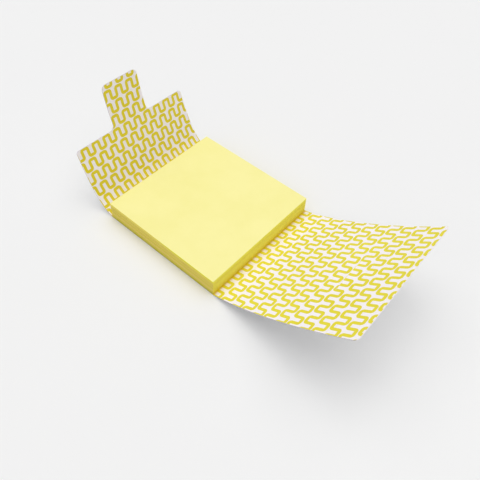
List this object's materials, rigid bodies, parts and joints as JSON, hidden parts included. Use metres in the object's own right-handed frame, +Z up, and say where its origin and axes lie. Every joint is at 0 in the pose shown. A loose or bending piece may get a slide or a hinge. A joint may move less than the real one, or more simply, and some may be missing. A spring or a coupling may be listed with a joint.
{
  "type": "sticky note pad",
  "caption": "Square block of yellow sticky notes on a creased card wrap, opened out, with a curled front cover and a tab flap at the back.",
  "frame": {"origin": "centre of the underside of the card, below the middle of the pad of notes", "axes": "+X across the folds, from the tab flap to the front cover; +Y along the folds; +Z up, away from the table"},
  "size_m": [0.1779, 0.077, 0.0582],
  "materials": {
    "note_paper": "matte",
    "printed_card": "matte"
  },
  "bodies": {
    "root": {"note_pad": "note_paper", "wrap_cover": "printed_card"}
  },
  "joints": []
}
